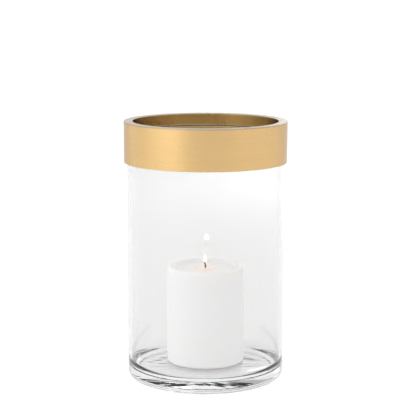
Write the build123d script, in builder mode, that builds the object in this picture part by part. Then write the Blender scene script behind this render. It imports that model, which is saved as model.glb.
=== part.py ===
"""Hurricane candle lantern: a thick-based clear glass cylinder, a brushed brass rim ring that lifts off,
and a pillar candle standing on the glass floor.

Frame: millimetres, +Z up, origin at the centre of the glass foot, where the lantern stands on a table.
The glass and the ring are round about +Z. At rest the ring sits on the glass rim, and the candle stands
on the glass floor, a little behind the middle.
"""

import os

from build123d import *

# ---- Driving dimensions -------------------------------------------------------------------------------

# Glass cylinder
glass_diameter = 161.5
glass_height = 254.5
glass_wall = 3.5
glass_floor = 11.5  # from the foot up to the inside floor
glass_foot_round = 7.5  # outside corner between the foot and the wall
glass_floor_round = 11.0  # inside corner between the floor and the wall
glass_rim_round = 1.1  # fire-polished edges of the rim
punt_diameter = 120.0  # shallow hollow under the base, so that the lantern stands on the foot round it
punt_depth = 1.2

# Rim ring, welded up from four pieces of sheet metal
ring_reach = 3.25  # how far the ring stands out past the glass all round
ring_height = 42.0
rim_width = 9.0  # width of the flat top, from the outside of the ring to its mouth
mouth_depth = 12.5  # from the top face down to the underside of the seat plate
sheet = 1.2
sheet_edge_round = 0.35
weld_gap = 0.1  # radial gap between the seat plate and the outer band

# Soft pieces glued inside the ring
cushion_thickness = 1.0
cushion_overhang = 0.4  # how far the cushion reaches past the glass wall on each side
lining_thickness = 1.4
lining_height = 14.0
lining_above_hem = 5.0  # from the ring's lower edge up to the lining
glue_line = 0.05

# Candle
candle_diameter = 81.0
candle_height = 102.5
candle_setback = 16.8  # the candle's axis lies this far behind the middle of the glass
candle_foot_round = 2.5
candle_lip_width = 4.0  # unmelted wax left round the hollow
candle_lip_round = 1.5
hollow_depth = 3.6  # how far the flame has lowered the wax
hollow_slope = 7.0  # width of the slope between the lip and the pool
hollow_round = 4.0  # curve where the slope runs out into the pool

# Wick and the metal tab that holds its lower end
wick_diameter = 2.0
wick_stand = 6.5  # how far the charred end stands above the pool
wick_lean = 1.3  # sideways reach of the bent end
wick_bend_radius = 3.0
wick_fit = 0.1  # radial room for the wick in the wax and in the tab's neck
tab_diameter = 20.0
tab_thickness = 0.4
tab_neck_height = 5.0
tab_neck_wall = 0.5
tab_recess = 0.3  # how far the tab lies above the candle's foot
tab_fit = 0.3

# ---- Places worked out from them ----------------------------------------------------------------------

glass_radius = glass_diameter / 2
glass_bore_radius = glass_radius - glass_wall

ring_radius = glass_radius + ring_reach
mouth_radius = ring_radius - rim_width
skirt_bore_radius = ring_radius - sheet
seat_bottom = glass_height + cushion_thickness
seat_top = seat_bottom + sheet
ring_top = seat_bottom + mouth_depth
top_plate_bottom = ring_top - sheet
ring_bottom = ring_top - ring_height
lining_radius = skirt_bore_radius - glue_line

candle_radius = candle_diameter / 2
candle_bottom = glass_floor
candle_top = candle_bottom + candle_height
lip_inner_radius = candle_radius - candle_lip_width
pool_radius = lip_inner_radius - hollow_slope
pool_level = candle_top - hollow_depth

wick_radius = wick_diameter / 2
wick_channel_radius = wick_radius + wick_fit
wick_bend_level = pool_level + wick_stand / 2
tab_bottom = candle_bottom + tab_recess
tab_top = tab_bottom + tab_thickness
neck_top = tab_top + tab_neck_height
neck_radius = wick_channel_radius + tab_neck_wall

UPRIGHT = (Align.CENTER, Align.CENTER, Align.MIN)
CANDLE_AXIS = Axis((0, candle_setback, 0), (0, 0, 1))
CANDLE_SECTION_PLANE = Plane((0, candle_setback, 0), x_dir=(1, 0, 0), z_dir=(0, -1, 0))


def save(piece, name):
    """Labels a finished piece and writes it as parts/NAME.step."""
    piece.part.label = name
    export_step(piece.part, f"parts/{name}.step")


def annulus(outer_radius, inner_radius, bottom, top):
    """A ring round +Z with sharp edges."""
    with BuildPart() as ring:
        with BuildSketch(Plane.XY.offset(bottom)):
            Circle(outer_radius)
            Circle(inner_radius, mode=Mode.SUBTRACT)
        extrude(amount=top - bottom)
    return ring


def ease(ring, level):
    """Rounds the two circular edges of a sheet-metal ring at its lowest (0) or highest (-1) level."""
    with ring:
        fillet(ring.edges().filter_by(GeomType.CIRCLE).group_by(Axis.Z)[level], radius=sheet_edge_round)


os.makedirs("parts", exist_ok=True)

# ---- Glass cylinder: one blown piece, open at the top, with a rounded foot and a fire-polished rim --------

with BuildPart() as glass_cylinder:
    with BuildSketch(Plane.XZ) as glass_section:
        with BuildLine():
            punt = TangentArc((0, punt_depth), (punt_diameter / 2, 0), tangent=(1, 0))
            Polyline(
                punt @ 1,
                (glass_radius, 0),
                (glass_radius, glass_height),
                (glass_bore_radius, glass_height),
                (glass_bore_radius, glass_floor),
                (0, glass_floor),
                punt @ 0,
            )
        make_face()
        for corner, corner_round in (
            ((glass_radius, glass_height), glass_rim_round),
            ((glass_bore_radius, glass_height), glass_rim_round),
            ((glass_bore_radius, glass_floor), glass_floor_round),
            ((glass_radius, 0), glass_foot_round),
        ):
            fillet(glass_section.vertices().sort_by_distance(corner)[0], radius=corner_round)
    revolve(axis=Axis.Z)
save(glass_cylinder, "glass_cylinder")

# ---- Rim ring: outer band, top plate, inner band and seat plate, welded and ground flush ------------------

outer_band = annulus(ring_radius, skirt_bore_radius, ring_bottom, top_plate_bottom)
ease(outer_band, 0)
save(outer_band, "rim_outer_band")

top_plate = annulus(ring_radius, mouth_radius, top_plate_bottom, ring_top)
ease(top_plate, -1)
save(top_plate, "rim_top_plate")

inner_band = annulus(mouth_radius + sheet, mouth_radius, seat_top, top_plate_bottom)
save(inner_band, "rim_inner_band")

seat_plate = annulus(skirt_bore_radius - weld_gap, mouth_radius, seat_bottom, seat_top)
ease(seat_plate, 0)
save(seat_plate, "rim_seat_plate")

# ---- Soft pieces in the ring: a silicone cushion on the glass rim and a felt lining in the skirt ----------

rim_cushion = annulus(
    glass_radius + cushion_overhang,
    glass_bore_radius - cushion_overhang,
    glass_height,
    seat_bottom,
)
save(rim_cushion, "rim_cushion")

lining_bottom = ring_bottom + lining_above_hem
skirt_lining = annulus(
    lining_radius,
    lining_radius - lining_thickness,
    lining_bottom,
    lining_bottom + lining_height,
)
save(skirt_lining, "skirt_lining")

# ---- Candle: a wax pillar with a burnt-down hollow, a wick channel and a recess for the wick tab ----------

with BuildPart() as candle_body:
    with BuildSketch(CANDLE_SECTION_PLANE) as candle_section:
        with BuildLine():
            Polyline(
                (0, candle_bottom),
                (candle_radius, candle_bottom),
                (candle_radius, candle_top),
                (lip_inner_radius, candle_top),
                (pool_radius, pool_level),
                (0, pool_level),
                close=True,
            )
        make_face()
        for corner, corner_round in (
            ((candle_radius, candle_top), candle_lip_round),
            ((lip_inner_radius, candle_top), candle_lip_round),
            ((pool_radius, pool_level), hollow_round),
            ((candle_radius, candle_bottom), candle_foot_round),
        ):
            fillet(candle_section.vertices().sort_by_distance(corner)[0], radius=corner_round)
    revolve(axis=CANDLE_AXIS)
    with Locations((0, candle_setback, pool_level)):
        Hole(radius=wick_channel_radius, depth=pool_level - candle_bottom)
    with Locations(Plane((0, candle_setback, candle_bottom), z_dir=(0, 0, -1))):
        CounterBoreHole(
            radius=neck_radius + tab_fit,
            counter_bore_radius=tab_diameter / 2 + tab_fit,
            counter_bore_depth=tab_top - candle_bottom + tab_fit,
            depth=neck_top - candle_bottom + tab_fit,
        )
save(candle_body, "candle_body")

# ---- Wick tab: a pressed steel disc whose neck is crimped round the wick ----------------------------------

with BuildPart() as wick_tab:
    with Locations((0, candle_setback, tab_bottom)):
        Cylinder(tab_diameter / 2, tab_thickness, align=UPRIGHT)
    with Locations((0, candle_setback, tab_top)):
        Cylinder(neck_radius, tab_neck_height, align=UPRIGHT)
    with Locations((0, candle_setback, neck_top)):
        Hole(radius=wick_channel_radius, depth=tab_neck_height)
save(wick_tab, "wick_tab")

# ---- Wick: a round cotton cord from the tab up through the wax, its free end bent over --------------------

with BuildPart() as candle_wick:
    with BuildLine():
        FilletPolyline(
            (0, candle_setback, tab_top),
            (0, candle_setback, wick_bend_level),
            (-wick_lean, candle_setback, pool_level + wick_stand),
            radius=wick_bend_radius,
        )
    with BuildSketch(Plane((0, candle_setback, tab_top))):
        Circle(wick_radius)
    sweep()
save(candle_wick, "candle_wick")
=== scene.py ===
"""Hurricane candle lantern: a clear glass cylinder, a brushed brass rim ring that lifts off, a lit candle.

Metres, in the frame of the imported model: +Z is up and the origin is the middle of the glass foot.
The sections follow the lantern as it is put together: camera, table, light, glass, ring, candle.
"""

import math

import bmesh
import bpy
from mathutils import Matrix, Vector


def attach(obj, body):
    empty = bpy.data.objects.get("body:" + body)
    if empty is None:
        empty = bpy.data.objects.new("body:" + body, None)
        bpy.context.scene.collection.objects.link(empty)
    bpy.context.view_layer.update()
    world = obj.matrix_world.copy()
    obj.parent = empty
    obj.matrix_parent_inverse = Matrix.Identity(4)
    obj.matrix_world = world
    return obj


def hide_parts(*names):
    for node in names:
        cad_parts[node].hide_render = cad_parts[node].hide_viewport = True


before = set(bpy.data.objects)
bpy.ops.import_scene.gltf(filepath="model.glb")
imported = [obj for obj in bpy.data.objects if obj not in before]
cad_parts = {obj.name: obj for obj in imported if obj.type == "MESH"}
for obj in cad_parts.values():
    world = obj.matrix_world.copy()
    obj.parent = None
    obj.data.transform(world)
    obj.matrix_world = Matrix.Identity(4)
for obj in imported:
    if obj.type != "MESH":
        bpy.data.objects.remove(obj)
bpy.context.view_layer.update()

# ---- Camera -------------------------------------------------------------------------------------------
# A long product lens a little above the rim, looking down into the mouth of the ring and past the candle
# to the glass floor. It stands 1.4 m away, so that the sides of the cylinder stay almost parallel.

SENSOR = 0.036
LENS_IN_FRAME_WIDTHS = 3.3566
CAMERA_PLACE = (0.0022, -1.4261, 0.4145)
CAMERA_TILT, CAMERA_ROLL = 9.45, -0.09

bpy.ops.object.select_all(action="DESELECT")
bpy.ops.object.camera_add(
    location=CAMERA_PLACE, rotation=(math.radians(90 - CAMERA_TILT), math.radians(CAMERA_ROLL), 0)
)
camera = bpy.context.object
camera.name = "camera"
camera.data.sensor_width = SENSOR * 1000
camera.data.lens = LENS_IN_FRAME_WIDTHS * SENSOR * 1000
bpy.context.scene.camera = camera

# ---- Table --------------------------------------------------------------------------------------------
# A wide sheet of matt white-painted board under the lantern. It carries on to the horizon, so that the
# glass has the same pale ground behind it from every side.

TABLE_REACH = 60.0
TABLE_TOP = -0.0002  # a hair under the foot, whose waves reach down past zero
STIPPLE_WIDTH = 0.0025


def linear(hex_colour):
    """An sRGB hex colour as the linear RGBA that shader sockets take."""
    channels = [int(hex_colour[i : i + 2], 16) / 255 for i in (0, 2, 4)]
    return [c / 12.92 if c <= 0.04045 else ((c + 0.055) / 1.055) ** 2.4 for c in channels] + [1.0]


def new_material(name):
    """A material with one Principled shader, whose finish the section then sets."""
    material = bpy.data.materials.new(name)
    material.use_nodes = True
    return material


def fill(material, node, inputs):
    """Sets a node's sockets from plain values, or links them to outputs of other nodes."""
    for socket, value in inputs.items():
        if isinstance(value, bpy.types.NodeSocket):
            material.node_tree.links.new(value, node.inputs[socket])
        else:
            node.inputs[socket].default_value = value


def add_node(material, kind, inputs=None, **settings):
    """Adds a node with its settings, fills its sockets, and returns it."""
    node = material.node_tree.nodes.new(kind)
    for setting, value in settings.items():
        setattr(node, setting, value)
    fill(material, node, inputs or {})
    return node


def shader_of(material):
    """The material's Principled shader."""
    return material.node_tree.nodes["Principled BSDF"]


# Matt emulsion paint: a faint roller stipple, hardly any gloss.
painted_board = new_material("matt_white_paint")
stipple = add_node(
    painted_board,
    "ShaderNodeTexNoise",
    {
        "Vector": add_node(painted_board, "ShaderNodeTexCoord").outputs["Object"],
        "Scale": 1 / STIPPLE_WIDTH,
        "Detail": 2.0,
    },
)
fill(
    painted_board,
    shader_of(painted_board),
    {
        "Base Color": linear("F4F4F4"),
        "Roughness": 0.7,
        "Specular IOR Level": 0.3,
        "Normal": add_node(
            painted_board,
            "ShaderNodeBump",
            {"Height": stipple.outputs["Fac"], "Strength": 0.05, "Distance": 0.0002},
        ).outputs["Normal"],
    },
)
bpy.ops.mesh.primitive_plane_add(size=2 * TABLE_REACH, location=(0, 0, TABLE_TOP))
table = bpy.context.object
table.name = "table"
table.data.materials.append(painted_board)

# ---- Studio light -------------------------------------------------------------------------------------
# A white tent, a little darker behind the camera. Softboxes on the left give the ring its bright bands, and
# a lamp over the table behind the lantern makes the ground lighter on the right.

bpy.context.scene.view_settings.view_transform = "Standard"
world = bpy.data.worlds.new("tent")
bpy.context.scene.world = world
world.use_nodes = True
tent = world.node_tree.nodes["Background"]
tent.inputs["Color"].default_value = (1.0, 1.0, 1.0, 1.0)
outwards = add_node(world, "ShaderNodeTexCoord").outputs["Generated"]
to_the_back = add_node(world, "ShaderNodeSeparateXYZ", {"Vector": outwards}).outputs["Y"]
brightness = add_node(
    world,
    "ShaderNodeMapRange",
    {"Value": to_the_back, "From Min": -0.98, "From Max": -0.60, "To Min": 0.80, "To Max": 1.17},
    interpolation_type="SMOOTHSTEP",
)
fill(world, tent, {"Strength": brightness.outputs["Result"]})


def softbox(name, azimuth, elevation, distance, width, height, power, aim=Vector((0, 0, 0.15))):
    """A rectangular lamp aimed at a point. Azimuth 0 is the camera's side of the point and 90 is its left."""
    turn, lift = math.radians(azimuth), math.radians(elevation)
    away = Vector((-math.sin(turn) * math.cos(lift), -math.cos(turn) * math.cos(lift), math.sin(lift)))
    bpy.ops.object.light_add(type="AREA", location=aim + away * distance)
    lamp = bpy.context.object
    lamp.name = name
    lamp.data.shape = "RECTANGLE"
    lamp.data.size, lamp.data.size_y, lamp.data.energy = width, height, power
    lamp.visible_camera = False
    lamp.rotation_mode = "QUATERNION"
    lamp.rotation_quaternion = away.to_track_quat("Z", "Y")


softbox("softbox_left_wide", 54, 20, 1.6, 1.9, 1.0, 3.0)
softbox("softbox_left_narrow", 50, 20, 1.6, 0.8, 1.0, 1.2)
softbox("softbox_back_left", 121, 20, 1.6, 0.35, 1.0, 0.9)
softbox("floor_lamp_right", 0, 90, 0.5, 0.4, 0.4, 1.5, aim=Vector((0.34, 1.4, 0)))

# ---- Glass cylinder -----------------------------------------------------------------------------------
# Clear soda-lime glass, blown into a mould, with a thick floor, a rounded foot and a rim that is melted
# smooth in the flame. The maker's mould leaves slow waves in the foot, which the straight wall hardly has.

GLASS_RADIUS = 0.08075
GLASS_HEIGHT = 0.2545
GLASS_WALL = 0.0035
GLASS_FLOOR = 0.0115
FOOT_ROUND = 0.0075
FLOOR_ROUND = 0.011
RIM_ROUND = 0.0011
PUNT_RADIUS = 0.060
PUNT_DEPTH = 0.0012
GLASS_SIDES = 240
FLOOR_RINGS, FOOT_RINGS = 12, 4
WALL_LEVELS = [0.026 + 0.006 * step for step in range(9)] + [0.10, 0.14, 0.19]
WAVE_HEIGHT, WAVE_WIDTH = 0.00034, 0.006
UNDERSIDE_TOP = 0.003
SWELL_WIDTH = 0.01818


def edit(piece):
    """Opens a piece's mesh for editing with nothing selected, by itself."""
    bpy.ops.object.mode_set(mode="OBJECT")
    bpy.ops.object.select_all(action="DESELECT")
    bpy.context.view_layer.objects.active = piece
    piece.select_set(True)
    bpy.ops.object.mode_set(mode="EDIT")
    bpy.ops.mesh.select_all(action="DESELECT")


def pick(piece, kind, wanted):
    """Selects the open mesh's faces, edges or verts whose place, and for faces the normal, is wanted."""
    bpy.ops.mesh.select_all(action="DESELECT")
    bpy.context.tool_settings.mesh_select_mode = (kind == "verts", kind == "edges", kind == "faces")
    mesh = bmesh.from_edit_mesh(piece.data)
    for element in getattr(mesh, kind):
        if kind == "faces":
            chosen = wanted(element.calc_center_median(), element.normal)
        elif kind == "edges":
            chosen = all(wanted(v.co) for v in element.verts)
        else:
            chosen = wanted(element.co)
        element.select_set(chosen)
    mesh.select_flush_mode()
    bmesh.update_edit_mesh(piece.data)


def shut(piece, angle):
    """Leaves editing, shades smooth up to the angle, and keeps flats flat beside their rounded edges."""
    bpy.ops.object.mode_set(mode="OBJECT")
    bpy.ops.object.shade_smooth_by_angle(angle=math.radians(angle))
    weighted = piece.modifiers.new("weighted", "WEIGHTED_NORMAL")
    weighted.keep_sharp = True
    bpy.ops.object.modifier_apply(modifier="weighted")
    piece.select_set(False)


def near(a, b):
    """Whether two lengths are the same within a hundredth of a millimetre."""
    return abs(a - b) < 1e-5


bpy.ops.object.select_all(action="DESELECT")
bpy.ops.mesh.primitive_cylinder_add(
    vertices=GLASS_SIDES, radius=GLASS_RADIUS, depth=GLASS_HEIGHT, location=(0, 0, GLASS_HEIGHT / 2)
)
glass = bpy.context.object
glass.name = "blown_glass"
bpy.ops.object.transform_apply(location=True)
edit(glass)
pick(glass, "faces", lambda middle, normal: near(middle.z, GLASS_HEIGHT))
bpy.ops.mesh.inset(thickness=GLASS_WALL)
bpy.ops.mesh.extrude_region_move(TRANSFORM_OT_translate={"value": (0, 0, GLASS_FLOOR - GLASS_HEIGHT)})
bore = GLASS_RADIUS - GLASS_WALL
pick(glass, "edges", lambda p: near(p.z, GLASS_FLOOR) and p.xy.length > bore - 1e-4)
bpy.ops.mesh.bevel(offset=FLOOR_ROUND, segments=14, affect="EDGES")
pick(glass, "edges", lambda p: near(p.z, 0) and p.xy.length > GLASS_RADIUS - 1e-4)
bpy.ops.mesh.bevel(offset=FOOT_ROUND, segments=12, affect="EDGES")
pick(glass, "edges", lambda p: near(p.z, GLASS_HEIGHT))
bpy.ops.mesh.bevel(offset=RIM_ROUND, segments=5, affect="EDGES")

# The underside: the foot ring, then the punt, which rises like a shallow lens.
pick(glass, "faces", lambda middle, normal: near(middle.z, 0) and normal.z < -0.9)
for ring_number in range(FOOT_RINGS):
    bpy.ops.mesh.inset(thickness=(GLASS_RADIUS - FOOT_ROUND - PUNT_RADIUS) / FOOT_RINGS)
for ring_number in range(1, FLOOR_RINGS):
    bpy.ops.mesh.inset(thickness=PUNT_RADIUS / FLOOR_RINGS)
    outside = ((FLOOR_RINGS - ring_number + 1) / FLOOR_RINGS) ** 2
    inside = ((FLOOR_RINGS - ring_number) / FLOOR_RINGS) ** 2
    bpy.ops.transform.translate(value=(0, 0, PUNT_DEPTH * (outside - inside)))
bpy.ops.mesh.poke()

# The inside floor, and level rings up the lower wall, so that the waves have points to move.
pick(glass, "faces", lambda middle, normal: near(middle.z, GLASS_FLOOR) and normal.z > 0.9)
for ring_number in range(1, FLOOR_RINGS):
    bpy.ops.mesh.inset(thickness=(bore - FLOOR_ROUND) / FLOOR_RINGS)
bpy.ops.mesh.poke()
for level in WALL_LEVELS:
    bpy.ops.mesh.select_all(action="SELECT")
    bpy.ops.mesh.bisect(plane_co=(0, 0, level), plane_no=(0, 0, 1))
bpy.ops.mesh.select_all(action="SELECT")
bpy.ops.mesh.normals_make_consistent(inside=False)
bpy.ops.object.mode_set(mode="OBJECT")

waves = bpy.data.textures.new("mould_waves", "CLOUDS")
waves.noise_scale = WAVE_WIDTH
waves.noise_depth = 1
wavy = glass.vertex_groups.new(name="wavy")
for vertex in glass.data.vertices:
    # Full waves on the underside, where the glass touched the mould first, dying away up the wall. The
    # inside floor sank nearly flat while it was hot.
    share = 1.0 if vertex.co.z < UNDERSIDE_TOP else max(0.015, 0.35 - 8 * vertex.co.z)
    if near(vertex.co.z, GLASS_FLOOR) and vertex.co.xy.length < bore - FLOOR_ROUND + 1e-4:
        share = 0.06
    wavy.add([vertex.index], share, "REPLACE")
modifier = glass.modifiers.new("waves", "DISPLACE")
modifier.texture = waves
modifier.texture_coords = "LOCAL"
modifier.strength = WAVE_HEIGHT
modifier.mid_level = 0.5
modifier.vertex_group = "wavy"
bpy.context.view_layer.objects.active = glass
bpy.ops.object.modifier_apply(modifier="waves")
shut(glass, 60)

# Soda-lime glass, blown and flame-polished: IOR 1.52, a mirror finish with a slow swell in it, and a faint
# grey that only the long way through the floor shows. Lamps and soft light pass straight through to the
# candle, as through any clear thin wall.
clear_glass = new_material("soda_lime_glass")
slow_swell = add_node(
    clear_glass,
    "ShaderNodeTexNoise",
    {
        "Vector": add_node(clear_glass, "ShaderNodeTexCoord").outputs["Object"],
        "Scale": 1 / SWELL_WIDTH,
        "Detail": 1.0,
    },
)
fill(
    clear_glass,
    shader_of(clear_glass),
    {
        "Base Color": linear("F0F0F0"),
        "Roughness": 0.0,
        "IOR": 1.52,
        "Transmission Weight": 1.0,
        "Normal": add_node(
            clear_glass,
            "ShaderNodeBump",
            {"Height": slow_swell.outputs["Fac"], "Strength": 0.05, "Distance": 0.0004},
        ).outputs["Normal"],
    },
)
light_path = add_node(clear_glass, "ShaderNodeLightPath")
open_way = add_node(clear_glass, "ShaderNodeBsdfTransparent")
lamps_pass = add_node(
    clear_glass,
    "ShaderNodeMixShader",
    {
        0: light_path.outputs["Is Shadow Ray"],
        1: shader_of(clear_glass).outputs["BSDF"],
        2: open_way.outputs["BSDF"],
    },
)
soft_light_passes = add_node(
    clear_glass,
    "ShaderNodeMixShader",
    {
        0: light_path.outputs["Is Diffuse Ray"],
        1: lamps_pass.outputs["Shader"],
        2: open_way.outputs["BSDF"],
    },
)
depth_tint = add_node(
    clear_glass, "ShaderNodeVolumeAbsorption", {"Color": linear("CBCCCE"), "Density": 2.0}
)
fill(
    clear_glass,
    clear_glass.node_tree.nodes["Material Output"],
    {"Surface": soft_light_passes.outputs["Shader"], "Volume": depth_tint.outputs["Volume"]},
)
glass.data.materials.append(clear_glass)
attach(glass, "glass")
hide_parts("glass_cylinder")

# ---- Rim ring -----------------------------------------------------------------------------------------
# Four pieces of 1.2 mm brass-plated steel: a rolled outer band, a flat top plate, a short inner band round
# the mouth and the seat plate that lies on the glass. They are welded, ground flush and brushed round.

RING_RADIUS = 0.084
MOUTH_RADIUS = 0.075
RING_BOTTOM, RING_TOP = 0.226, 0.268
SHEET = 0.0012
SEAT_BOTTOM = 0.2555
WELD_GAP = 0.0001
EDGE_EASE = 0.0003
RING_SIDES = 256
LINE_SPACING, LINE_LENGTH = 0.001, 0.0714
RUB_WIDTH = 0.0357


def turned_strip(name, inner, outer, bottom, top, ease, eased_levels):
    """A ring of oblong section whose corners are eased at some levels: an upright plane spun round +Z."""
    bpy.ops.object.select_all(action="DESELECT")
    bpy.ops.mesh.primitive_plane_add(
        size=1, location=((inner + outer) / 2, 0, (bottom + top) / 2), rotation=(math.radians(90), 0, 0)
    )
    strip = bpy.context.object
    strip.name = name
    strip.scale = (outer - inner, top - bottom, 1)
    bpy.ops.object.transform_apply(location=True, rotation=True, scale=True)
    edit(strip)
    pick(strip, "verts", lambda p: any(near(p.z, level) for level in eased_levels))
    bpy.ops.mesh.bevel(offset=ease, segments=3, affect="VERTICES")
    bpy.ops.mesh.select_all(action="SELECT")
    bpy.ops.mesh.delete(type="ONLY_FACE")
    bpy.ops.mesh.select_all(action="SELECT")
    bpy.ops.mesh.spin(steps=RING_SIDES, angle=2 * math.pi, center=(0, 0, 0), axis=(0, 0, 1))
    bpy.ops.mesh.select_all(action="SELECT")
    bpy.ops.mesh.remove_doubles(threshold=1e-6)
    bpy.ops.mesh.normals_make_consistent(inside=False)
    shut(strip, 40)
    return strip


# Brass plate, brushed round the ring on an abrasive belt and lacquered. The brushing draws each highlight out
# across its lines, and the lacquer lies over it as a soft coat. The flat faces are painted darker and greyer
# to dim their reflection, and the inside of the mouth is painted browner as shade. The lines are about 1 mm
# apart here, coarser than the belt's grit, so that they show.
brass_round = new_material("brushed_brass_round")
brass_flat_painted_darker = new_material("brushed_brass_flat_painted_darker")
brass_inside_painted_shade = new_material("brushed_brass_inside_painted_shade")
# One brass in three tones: the round band as it is, the flat faces with a painted dimmer reflection, and the
# inside of the mouth with painted shade.
for material, flat, tones in (
    (brass_round, False, ("D3AE73", "DBB87E")),
    (brass_flat_painted_darker, True, ("A79270", "B9A586")),
    (brass_inside_painted_shade, False, ("9A783F", "B08D4F")),
):
    place = add_node(material, "ShaderNodeTexCoord").outputs["Object"]
    parts = add_node(material, "ShaderNodeSeparateXYZ", {"Vector": place})
    across = parts.outputs["Z"]
    if flat:
        level = add_node(
            material, "ShaderNodeVectorMath", {0: place, 1: (1.0, 1.0, 0.0)}, operation="MULTIPLY"
        )
        across = add_node(
            material, "ShaderNodeVectorMath", {0: level.outputs["Vector"]}, operation="LENGTH"
        ).outputs["Value"]
    line_place = add_node(
        material, "ShaderNodeCombineXYZ", {"X": parts.outputs["X"], "Y": parts.outputs["Y"], "Z": across}
    )
    line_scale = (1 / LINE_LENGTH, 1 / LINE_LENGTH, 1 / LINE_SPACING)
    scaled = add_node(
        material, "ShaderNodeMapping", {"Vector": line_place.outputs["Vector"], "Scale": line_scale}
    )
    lines = add_node(
        material, "ShaderNodeTexNoise", {"Vector": scaled.outputs["Vector"], "Scale": 1.0, "Detail": 1.0}
    )
    rub = add_node(material, "ShaderNodeTexNoise", {"Vector": place, "Scale": 1 / RUB_WIDTH, "Detail": 3.0})
    tone = add_node(
        material,
        "ShaderNodeMix",
        {"Factor": lines.outputs["Fac"], 6: linear(tones[0]), 7: linear(tones[1])},
        data_type="RGBA",
    )
    gloss = add_node(
        material,
        "ShaderNodeMapRange",
        {"Value": rub.outputs["Fac"], "From Min": 0.3, "From Max": 0.7, "To Min": 0.25, "To Max": 0.33},
    )
    round_the_ring = add_node(material, "ShaderNodeTangent", direction_type="RADIAL", axis="Z")
    fill(
        material,
        shader_of(material),
        {
            "Base Color": tone.outputs[2],
            "Metallic": 1.0,
            "Specular Tint": linear("C9C2B6"),
            "Roughness": gloss.outputs["Result"],
            "Anisotropic": 0.6,
            "Anisotropic Rotation": 0.25,
            "Tangent": round_the_ring.outputs["Tangent"],
            "Coat Weight": 0.7,
            "Coat Roughness": 0.3,
        },
    )

# Only the free edges are eased; where two pieces meet, the weld is ground flush.
plate_bottom, seat_top = RING_TOP - SHEET, SEAT_BOTTOM + SHEET
skirt_bore = RING_RADIUS - SHEET
outer_band = turned_strip(
    "brass_outer_band", skirt_bore, RING_RADIUS, RING_BOTTOM, plate_bottom, EDGE_EASE, [RING_BOTTOM]
)
top_plate = turned_strip(
    "brass_top_plate", MOUTH_RADIUS, RING_RADIUS, plate_bottom, RING_TOP, EDGE_EASE, [RING_TOP]
)
inner_band = turned_strip(
    "brass_inner_band", MOUTH_RADIUS, MOUTH_RADIUS + SHEET, seat_top, plate_bottom, EDGE_EASE, []
)
seat_plate = turned_strip(
    "brass_seat_plate", MOUTH_RADIUS, skirt_bore - WELD_GAP, SEAT_BOTTOM, seat_top, EDGE_EASE, [SEAT_BOTTOM]
)
for piece, material, node in (
    (outer_band, brass_round, "rim_outer_band"),
    (top_plate, brass_flat_painted_darker, "rim_top_plate"),
    (inner_band, brass_inside_painted_shade, "rim_inner_band"),
    (seat_plate, brass_flat_painted_darker, "rim_seat_plate"),
):
    piece.data.materials.append(material)
    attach(piece, "ring")
    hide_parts(node)

# ---- Cushion and lining -------------------------------------------------------------------------------
# A silicone washer is stuck under the seat plate, so that metal never meets the glass rim. It is drawn dark
# brown as painted shade for the gap there. A strip of felt glued round the skirt's bore centres the ring and
# keeps it from rattling.

CUSHION_OVERHANG = 0.0004
CUSHION_EASE = 0.0003
HAZE_WIDTH = 0.00333
LINING_ABOVE_HEM = 0.005
LINING_HEIGHT, LINING_THICKNESS = 0.014, 0.0014
LINING_EASE = 0.0005
GLUE_LINE = 0.00005
FIBRE_WIDTH = 0.00045

cushion = turned_strip(
    "silicone_cushion",
    bore - CUSHION_OVERHANG,
    GLASS_RADIUS + CUSHION_OVERHANG,
    GLASS_HEIGHT,
    SEAT_BOTTOM,
    CUSHION_EASE,
    [GLASS_HEIGHT, SEAT_BOTTOM],
)

# Silicone rubber, cast against a ground mould: IOR 1.41, matt, with a hazy patchy gloss.
silicone_painted_shade = new_material("dark_silicone_painted_shade")
haze = add_node(
    silicone_painted_shade,
    "ShaderNodeTexNoise",
    {
        "Vector": add_node(silicone_painted_shade, "ShaderNodeTexCoord").outputs["Object"],
        "Scale": 1 / HAZE_WIDTH,
        "Detail": 2.0,
    },
)
cast_gloss = add_node(
    silicone_painted_shade, "ShaderNodeMapRange", {"Value": haze.outputs["Fac"], "To Min": 0.45, "To Max": 0.6}
)
# Painted shade: the dark brown base colour stands in for the shaded gap between the seat plate and the glass
# rim.
fill(
    silicone_painted_shade,
    shader_of(silicone_painted_shade),
    {"Base Color": linear("2A221A"), "Roughness": cast_gloss.outputs["Result"], "IOR": 1.41},
)
cushion.data.materials.append(silicone_painted_shade)
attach(cushion, "ring")
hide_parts("rim_cushion")

lining_radius = skirt_bore - GLUE_LINE
lining_bottom = RING_BOTTOM + LINING_ABOVE_HEM
lining_top = lining_bottom + LINING_HEIGHT
lining = turned_strip(
    "felt_lining",
    lining_radius - LINING_THICKNESS,
    lining_radius,
    lining_bottom,
    lining_top,
    LINING_EASE,
    [lining_bottom, lining_top],
)

# Pressed wool felt: no shine, a soft pale bloom at its edges, and matted fibres half a millimetre across.
felt = new_material("wool_felt")
felt_place = add_node(felt, "ShaderNodeTexCoord").outputs["Object"]
fibres = add_node(
    felt,
    "ShaderNodeTexNoise",
    {"Vector": felt_place, "Scale": 1 / FIBRE_WIDTH, "Detail": 4.0, "Distortion": 1.5},
)
felt_tone = add_node(
    felt,
    "ShaderNodeMix",
    {"Factor": fibres.outputs["Fac"], 6: linear("CFC6B4"), 7: linear("EDE6D8")},
    data_type="RGBA",
)
fill(
    felt,
    shader_of(felt),
    {
        "Base Color": felt_tone.outputs[2],
        "Roughness": 0.95,
        "Sheen Weight": 0.3,
        "Sheen Roughness": 0.5,
        "Normal": add_node(
            felt, "ShaderNodeBump", {"Height": fibres.outputs["Fac"], "Strength": 0.6, "Distance": 0.0002}
        ).outputs["Normal"],
    },
)
lining.data.materials.append(felt)
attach(lining, "ring")
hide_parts("skirt_lining")

# ---- Candle -------------------------------------------------------------------------------------------
# A white paraffin pillar, cast in a polished mould and a little burnt down: a soft lip of cold wax stands
# round a hollow, and the wax round the wick is molten. It stands loose on the glass floor.

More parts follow.
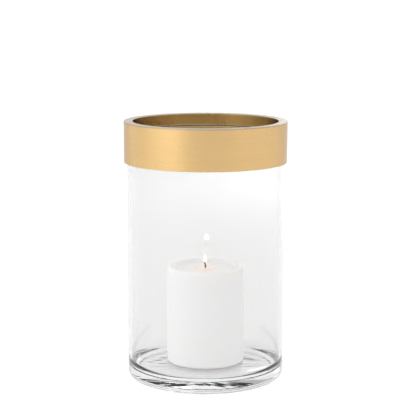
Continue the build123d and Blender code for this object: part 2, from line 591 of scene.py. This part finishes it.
CANDLE_BACK = 0.0168
CANDLE_RADIUS = 0.0405
CANDLE_FOOT, CANDLE_TOP = 0.0115, 0.1140
CANDLE_SIDES = 160
LIP_WIDTH, LIP_ROUND = 0.004, 0.0020
CANDLE_FOOT_ROUND = 0.0023
HOLLOW_DEPTH = 0.0036
SLOPE_WIDTH, SLOPE_STEPS = 0.007, 6
POOL_STEPS = 8
WICK_HOLE_RADIUS, WICK_HOLE_DEPTH = 0.0011, 0.004
SLUMP_HEIGHT, SLUMP_WIDTH = 0.0004, 0.03
SIDE_LEVELS = [CANDLE_FOOT + 0.006 * step for step in range(1, 17)]
MOTTLE_WIDTH = 0.00625

bpy.ops.object.select_all(action="DESELECT")
bpy.ops.mesh.primitive_cylinder_add(
    vertices=CANDLE_SIDES,
    radius=CANDLE_RADIUS,
    depth=CANDLE_TOP - CANDLE_FOOT,
    location=(0, CANDLE_BACK, (CANDLE_TOP + CANDLE_FOOT) / 2),
)
candle = bpy.context.object
candle.name = "wax_pillar"
bpy.ops.object.transform_apply(location=True)
edit(candle)


def from_wick(point):
    """Distance of a point from the candle's axis."""
    return math.hypot(point.x, point.y - CANDLE_BACK)


pick(candle, "faces", lambda middle, normal: normal.z > 0.9)
bpy.ops.mesh.inset(thickness=LIP_WIDTH)
for step in range(1, SLOPE_STEPS + 1):
    bpy.ops.mesh.inset(thickness=SLOPE_WIDTH / SLOPE_STEPS)
    fall = [0.5 - 0.5 * math.cos(math.pi * k / SLOPE_STEPS) for k in (step - 1, step)]
    bpy.ops.transform.translate(value=(0, 0, HOLLOW_DEPTH * (fall[0] - fall[1])))
pool_radius = CANDLE_RADIUS - LIP_WIDTH - SLOPE_WIDTH
for step in range(POOL_STEPS):
    bpy.ops.mesh.inset(thickness=(pool_radius - WICK_HOLE_RADIUS) / POOL_STEPS)
bpy.ops.mesh.extrude_region_move(TRANSFORM_OT_translate={"value": (0, 0, -WICK_HOLE_DEPTH)})
bpy.ops.mesh.poke()
pick(candle, "edges", lambda p: near(p.z, CANDLE_TOP) and from_wick(p) > CANDLE_RADIUS - 1e-4)
bpy.ops.mesh.bevel(offset=LIP_ROUND, segments=6, affect="EDGES")
pick(candle, "edges", lambda p: near(p.z, CANDLE_FOOT) and from_wick(p) > CANDLE_RADIUS - 1e-4)
bpy.ops.mesh.bevel(offset=CANDLE_FOOT_ROUND, segments=5, affect="EDGES")
for level in SIDE_LEVELS:
    bpy.ops.mesh.select_all(action="SELECT")
    bpy.ops.mesh.bisect(plane_co=(0, 0, level), plane_no=(0, 0, 1))
bpy.ops.mesh.select_all(action="SELECT")
bpy.ops.mesh.normals_make_consistent(inside=False)
bpy.ops.object.mode_set(mode="OBJECT")

slump = bpy.data.textures.new("wax_slump", "CLOUDS")
slump.noise_scale = SLUMP_WIDTH
slump.noise_depth = 1
modifier = candle.modifiers.new("slump", "DISPLACE")
modifier.texture = slump
modifier.texture_coords = "LOCAL"
modifier.strength = SLUMP_HEIGHT
modifier.mid_level = 0.5
bpy.context.view_layer.objects.active = candle
bpy.ops.object.modifier_apply(modifier="slump")
shut(candle, 60)

# Paraffin wax, cast: IOR 1.44 and translucent, so light wanders a few millimetres inside it. It is satin and
# faintly mottled where it set, and wet and clear round the wick. There the flame's light is painted on: the
# wet wax is tinted pink and glows faintly orange of itself.
pool_level = CANDLE_TOP - HOLLOW_DEPTH
paraffin = new_material("paraffin_wax")
wax_place = add_node(
    paraffin,
    "ShaderNodeVectorMath",
    {0: add_node(paraffin, "ShaderNodeTexCoord").outputs["Object"], 1: (0.0, CANDLE_BACK, pool_level)},
    operation="SUBTRACT",
).outputs["Vector"]
wick_distance = add_node(
    paraffin, "ShaderNodeVectorMath", {0: wax_place}, operation="LENGTH"
).outputs["Value"]
mottle = add_node(
    paraffin, "ShaderNodeTexNoise", {"Vector": wax_place, "Scale": 1 / MOTTLE_WIDTH, "Detail": 4.0}
)
wetness = add_node(
    paraffin,
    "ShaderNodeMapRange",
    {"Value": wick_distance, "From Min": 0.006, "From Max": 0.019, "To Min": 1.0, "To Max": 0.0},
    interpolation_type="SMOOTHSTEP",
)
wax_tone = add_node(
    paraffin,
    "ShaderNodeMix",
    {"Factor": mottle.outputs["Fac"], 6: linear("E9E9E9"), 7: linear("F0F0F0")},
    data_type="RGBA",
)
# Painted flame light: the wet wax round the wick is tinted pink.
pool_tone_painted_warm = add_node(
    paraffin,
    "ShaderNodeMix",
    {"Factor": wetness.outputs["Result"], 6: wax_tone.outputs[2], 7: linear("F0DFD6")},
    data_type="RGBA",
)
wax_gloss = add_node(
    paraffin, "ShaderNodeMapRange", {"Value": wetness.outputs["Result"], "To Min": 0.45, "To Max": 0.08}
)
# Painted flame light: the wax round the wick glows orange, though only the flame gives light.
painted_flame_glow = add_node(
    paraffin,
    "ShaderNodeMapRange",
    {"Value": wick_distance, "From Min": 0.002, "From Max": 0.018, "To Min": 0.14, "To Max": 0.0},
    interpolation_type="SMOOTHSTEP",
)
fill(
    paraffin,
    shader_of(paraffin),
    {
        "Base Color": pool_tone_painted_warm.outputs[2],
        "Roughness": wax_gloss.outputs["Result"],
        "IOR": 1.44,
        "Subsurface Weight": 0.6,
        "Subsurface Radius": (0.9, 0.6, 0.4),
        "Subsurface Scale": 0.008,
        "Emission Color": linear("FFB08C"),
        "Emission Strength": painted_flame_glow.outputs["Result"],
        "Normal": add_node(
            paraffin,
            "ShaderNodeBump",
            {"Height": mottle.outputs["Fac"], "Strength": 0.08, "Distance": 0.0003},
        ).outputs["Normal"],
    },
)
candle.data.materials.append(paraffin)
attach(candle, "candle")
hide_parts("candle_body")

# ---- Wick tab -----------------------------------------------------------------------------------------
# A pressed disc of tinned steel under the candle, whose neck is crimped on the wick. It is hidden in the
# candle's foot and seen only from below, through the glass.

SPANGLE_WIDTH = 0.00222

# Hot-dipped tin on steel: a bright grey metal whose crystals differ a little in tone and gloss.
tinned_steel = new_material("tinned_steel")
spangle = add_node(
    tinned_steel,
    "ShaderNodeTexVoronoi",
    {
        "Vector": add_node(tinned_steel, "ShaderNodeTexCoord").outputs["Object"],
        "Scale": 1 / SPANGLE_WIDTH,
    },
)
tin_gloss = add_node(
    tinned_steel,
    "ShaderNodeMapRange",
    {"Value": spangle.outputs["Distance"], "To Min": 0.22, "To Max": 0.38},
)
tin_tone = add_node(
    tinned_steel,
    "ShaderNodeMix",
    {"Factor": spangle.outputs["Distance"], 6: linear("C9CBCD"), 7: linear("DCDEDF")},
    data_type="RGBA",
)
fill(
    tinned_steel,
    shader_of(tinned_steel),
    {"Base Color": tin_tone.outputs[2], "Metallic": 1.0, "Roughness": tin_gloss.outputs["Result"]},
)
for material_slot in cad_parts["wick_tab"].material_slots:
    material_slot.material = tinned_steel

# ---- Wick ---------------------------------------------------------------------------------------------
# Three cotton strands laid together and soaked in wax. The free end is charred black and has bent over to
# the left while it burned.

WICK_FOOT, WICK_BEND, WICK_TIP = 0.0124, 0.1136, 0.1172
WICK_LEAN = 0.0013
STRAND_RADIUS, STRAND_CIRCLE = 0.00042, 0.0005
TWIST_PITCH, TWIST_STEPS = 0.0048, 176
BEND_STEPS = 8
CHAR_FROM, CHAR_TO = 0.1102, 0.1122
THREAD_WIDTH = 0.000333

strands = []
for strand_number in range(3):
    turn = 2 * math.pi * strand_number / 3
    bpy.ops.object.select_all(action="DESELECT")
    bpy.ops.mesh.primitive_circle_add(
        vertices=8,
        radius=STRAND_RADIUS,
        location=(STRAND_CIRCLE * math.cos(turn), STRAND_CIRCLE * math.sin(turn), WICK_FOOT),
        fill_type="NGON",
    )
    bpy.ops.object.transform_apply(location=True)
    strands.append(bpy.context.object)
for strand in strands:
    strand.select_set(True)
bpy.ops.object.join()
wick = bpy.context.object
wick.name = "cotton_wick"
edit(wick)
bpy.ops.mesh.select_all(action="SELECT")
for step in range(TWIST_STEPS):
    bpy.ops.mesh.extrude_region_move(
        TRANSFORM_OT_translate={"value": (0, 0, (WICK_TIP - WICK_FOOT) / TWIST_STEPS)}
    )
bpy.ops.object.mode_set(mode="OBJECT")
modifier = wick.modifiers.new("laid", "SIMPLE_DEFORM")
modifier.deform_method = "TWIST"
modifier.deform_axis = "Z"
modifier.angle = 2 * math.pi * (WICK_TIP - WICK_FOOT) / TWIST_PITCH
bpy.ops.object.modifier_apply(modifier="laid")
edit(wick)
for step in range(BEND_STEPS):
    # Each pass leans all that lies above its level a little further, which bends the free end over.
    level = WICK_BEND + (WICK_TIP - WICK_BEND) * step / BEND_STEPS
    lean = ((step + 1) / BEND_STEPS) ** 1.6 - (step / BEND_STEPS) ** 1.6
    pick(wick, "verts", lambda p: p.z > level)
    bpy.ops.transform.translate(value=(-WICK_LEAN * lean, 0, 0))
bpy.ops.mesh.select_all(action="SELECT")
bpy.ops.transform.translate(value=(0, CANDLE_BACK, 0))
bpy.ops.mesh.normals_make_consistent(inside=False)
shut(wick, 80)

# Spun cotton, cream where the wax keeps it from burning and charred black above the pool: quite matt, with
# single threads that stand out.
cotton = new_material("charred_cotton")
cotton_place = add_node(cotton, "ShaderNodeTexCoord").outputs["Object"]
threads = add_node(
    cotton, "ShaderNodeTexNoise", {"Vector": cotton_place, "Scale": 1 / THREAD_WIDTH, "Detail": 3.0}
)
height = add_node(cotton, "ShaderNodeSeparateXYZ", {"Vector": cotton_place}).outputs["Z"]
charred = add_node(
    cotton,
    "ShaderNodeMapRange",
    {"Value": height, "From Min": CHAR_FROM, "From Max": CHAR_TO, "To Min": 0.0, "To Max": 1.0},
    interpolation_type="SMOOTHSTEP",
)
cotton_tone = add_node(
    cotton,
    "ShaderNodeMix",
    {"Factor": charred.outputs["Result"], 6: linear("CDBFA6"), 7: linear("1C1613")},
    data_type="RGBA",
)
fill(
    cotton,
    shader_of(cotton),
    {
        "Base Color": cotton_tone.outputs[2],
        "Roughness": 0.9,
        "Normal": add_node(
            cotton,
            "ShaderNodeBump",
            {"Height": threads.outputs["Fac"], "Strength": 0.7, "Distance": 0.0002},
        ).outputs["Normal"],
    },
)
wick.data.materials.append(cotton)
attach(wick, "candle")
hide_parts("candle_wick")

# ---- Flame --------------------------------------------------------------------------------------------
# Burning wax vapour: a slim drop of light on the bent end of the wick. It is light, not matter, so the packed
# model has no solid for it, and it rides with the candle.

FLAME_FOOT, FLAME_TIP = 0.1128, 0.1252
FLAME_WIDTH = 0.0032
FLAME_SIDE = -0.0006

bpy.ops.object.select_all(action="DESELECT")
bpy.ops.mesh.primitive_uv_sphere_add(
    segments=32, ring_count=24, radius=0.5, location=(FLAME_SIDE, CANDLE_BACK, (FLAME_FOOT + FLAME_TIP) / 2)
)
flame = bpy.context.object
flame.name = "flame"
flame.scale = (FLAME_WIDTH, FLAME_WIDTH, FLAME_TIP - FLAME_FOOT)
bpy.ops.object.transform_apply(location=True, rotation=True, scale=True)
edit(flame)
for level, waist in ((0.62, 0.80), (0.72, 0.80), (0.82, 0.78), (0.91, 0.72)):
    # Each pass draws in all that lies above the level, which pulls the tip out to a point.
    height_up = FLAME_FOOT + level * (FLAME_TIP - FLAME_FOOT)
    pick(flame, "verts", lambda p: p.z > height_up)
    bpy.ops.transform.resize(value=(waist, waist, 1), center_override=(FLAME_SIDE, CANDLE_BACK, height_up))
shut(flame, 80)

# Glowing soot: orange at the foot, nearly white in the middle and yellow at the tip. Round the wick, where
# the vapour has not caught yet, the flame is clear.
burning_vapour = new_material("burning_vapour")
flame_place = add_node(burning_vapour, "ShaderNodeTexCoord").outputs["Object"]
flame_height = add_node(burning_vapour, "ShaderNodeSeparateXYZ", {"Vector": flame_place}).outputs["Z"]
up_flame = add_node(
    burning_vapour,
    "ShaderNodeMapRange",
    {"Value": flame_height, "From Min": FLAME_FOOT, "From Max": FLAME_TIP},
)
flame_tone = add_node(burning_vapour, "ShaderNodeValToRGB", {"Fac": up_flame.outputs["Result"]})
ramp = flame_tone.color_ramp.elements
ramp[0].position, ramp[0].color = 0.0, linear("FF9A4A")
ramp[1].position, ramp[1].color = 1.0, linear("FFE9B8")
middle = ramp.new(0.35)
middle.color = linear("FFF4DC")
clear_share = add_node(
    burning_vapour,
    "ShaderNodeMapRange",
    {
        "Value": up_flame.outputs["Result"],
        "From Min": 0.34,
        "From Max": 0.46,
        "To Min": 0.985,
        "To Max": 0.0,
    },
    interpolation_type="SMOOTHSTEP",
)
light = add_node(
    burning_vapour, "ShaderNodeEmission", {"Color": flame_tone.outputs["Color"], "Strength": 6.0}
)
unlit_vapour = add_node(burning_vapour, "ShaderNodeBsdfTransparent")
fade = add_node(
    burning_vapour,
    "ShaderNodeMixShader",
    {0: clear_share.outputs["Result"], 1: light.outputs["Emission"], 2: unlit_vapour.outputs["BSDF"]},
)
fill(burning_vapour, burning_vapour.node_tree.nodes["Material Output"], {"Surface": fade.outputs["Shader"]})
flame.data.materials.append(burning_vapour)
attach(flame, "candle")
